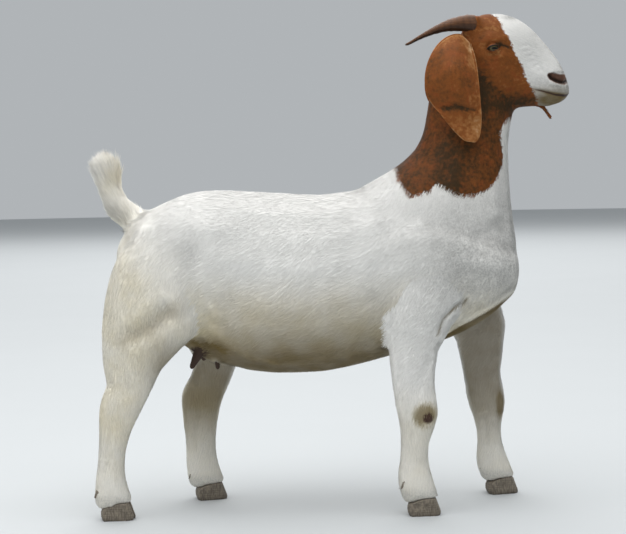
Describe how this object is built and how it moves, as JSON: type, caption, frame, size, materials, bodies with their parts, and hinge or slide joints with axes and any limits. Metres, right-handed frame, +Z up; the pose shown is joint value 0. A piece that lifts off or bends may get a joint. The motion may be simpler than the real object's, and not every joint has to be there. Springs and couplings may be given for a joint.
{
  "type": "life-size standing goat figure",
  "caption": "Life-size still figure of a horned meat-breed doe goat standing with head raised, long hanging ears, white body and red-brown head and neck.",
  "frame": {"origin": "on the floor under the middle of the body's length and width", "axes": "+X towards the nose, +Y towards the animal's left side, +Z up"},
  "size_m": [1.0286, 0.3042, 1.0536],
  "materials": {
    "white_coat": "short white hair, cream on the rump, thinner and greyer below",
    "brown_coat": "short red-brown hair with a white blaze down the face",
    "horn": "ringed grey-brown horn, darker towards the tip",
    "hoof": "satin grey hoof horn with fine growth rings",
    "dewclaw": "dark satin horn",
    "eye": "wet glossy amber eye with a level slot pupil",
    "udder_skin": "bare soft skin",
    "teat_skin": "dark bare skin"
  },
  "bodies": {
    "root": {"trunk": "white_coat", "neck": "brown_coat", "head": "brown_coat", "tail": "white_coat", "udder": "udder_skin", "beard": "brown_coat", "teat_right": "teat_skin", "teat_left": "teat_skin", "teat_right_front": "teat_skin", "eye_left": "eye", "ear_left": "brown_coat", "horn_left": "horn", "eye_right": "eye", "ear_right": "brown_coat", "horn_right": "horn", "foreleg_right": "white_coat", "foreleg_left": "white_coat", "hindleg_right": "white_coat", "hindleg_left": "white_coat", "hoof_fore_right_inner": "hoof", "hoof_fore_right_outer": "hoof", "hoof_fore_left_inner": "hoof", "hoof_fore_left_outer": "hoof", "hoof_hind_right_inner": "hoof", "hoof_hind_right_outer": "hoof", "hoof_hind_left_inner": "hoof", "hoof_hind_left_outer": "hoof", "dewclaw_fore_right_inner": "dewclaw", "dewclaw_fore_right_outer": "dewclaw", "dewclaw_fore_left_inner": "dewclaw", "dewclaw_fore_left_outer": "dewclaw", "dewclaw_hind_right_inner": "dewclaw", "dewclaw_hind_right_outer": "dewclaw", "dewclaw_hind_left_inner": "dewclaw", "dewclaw_hind_left_outer": "dewclaw"}
  },
  "joints": []
}
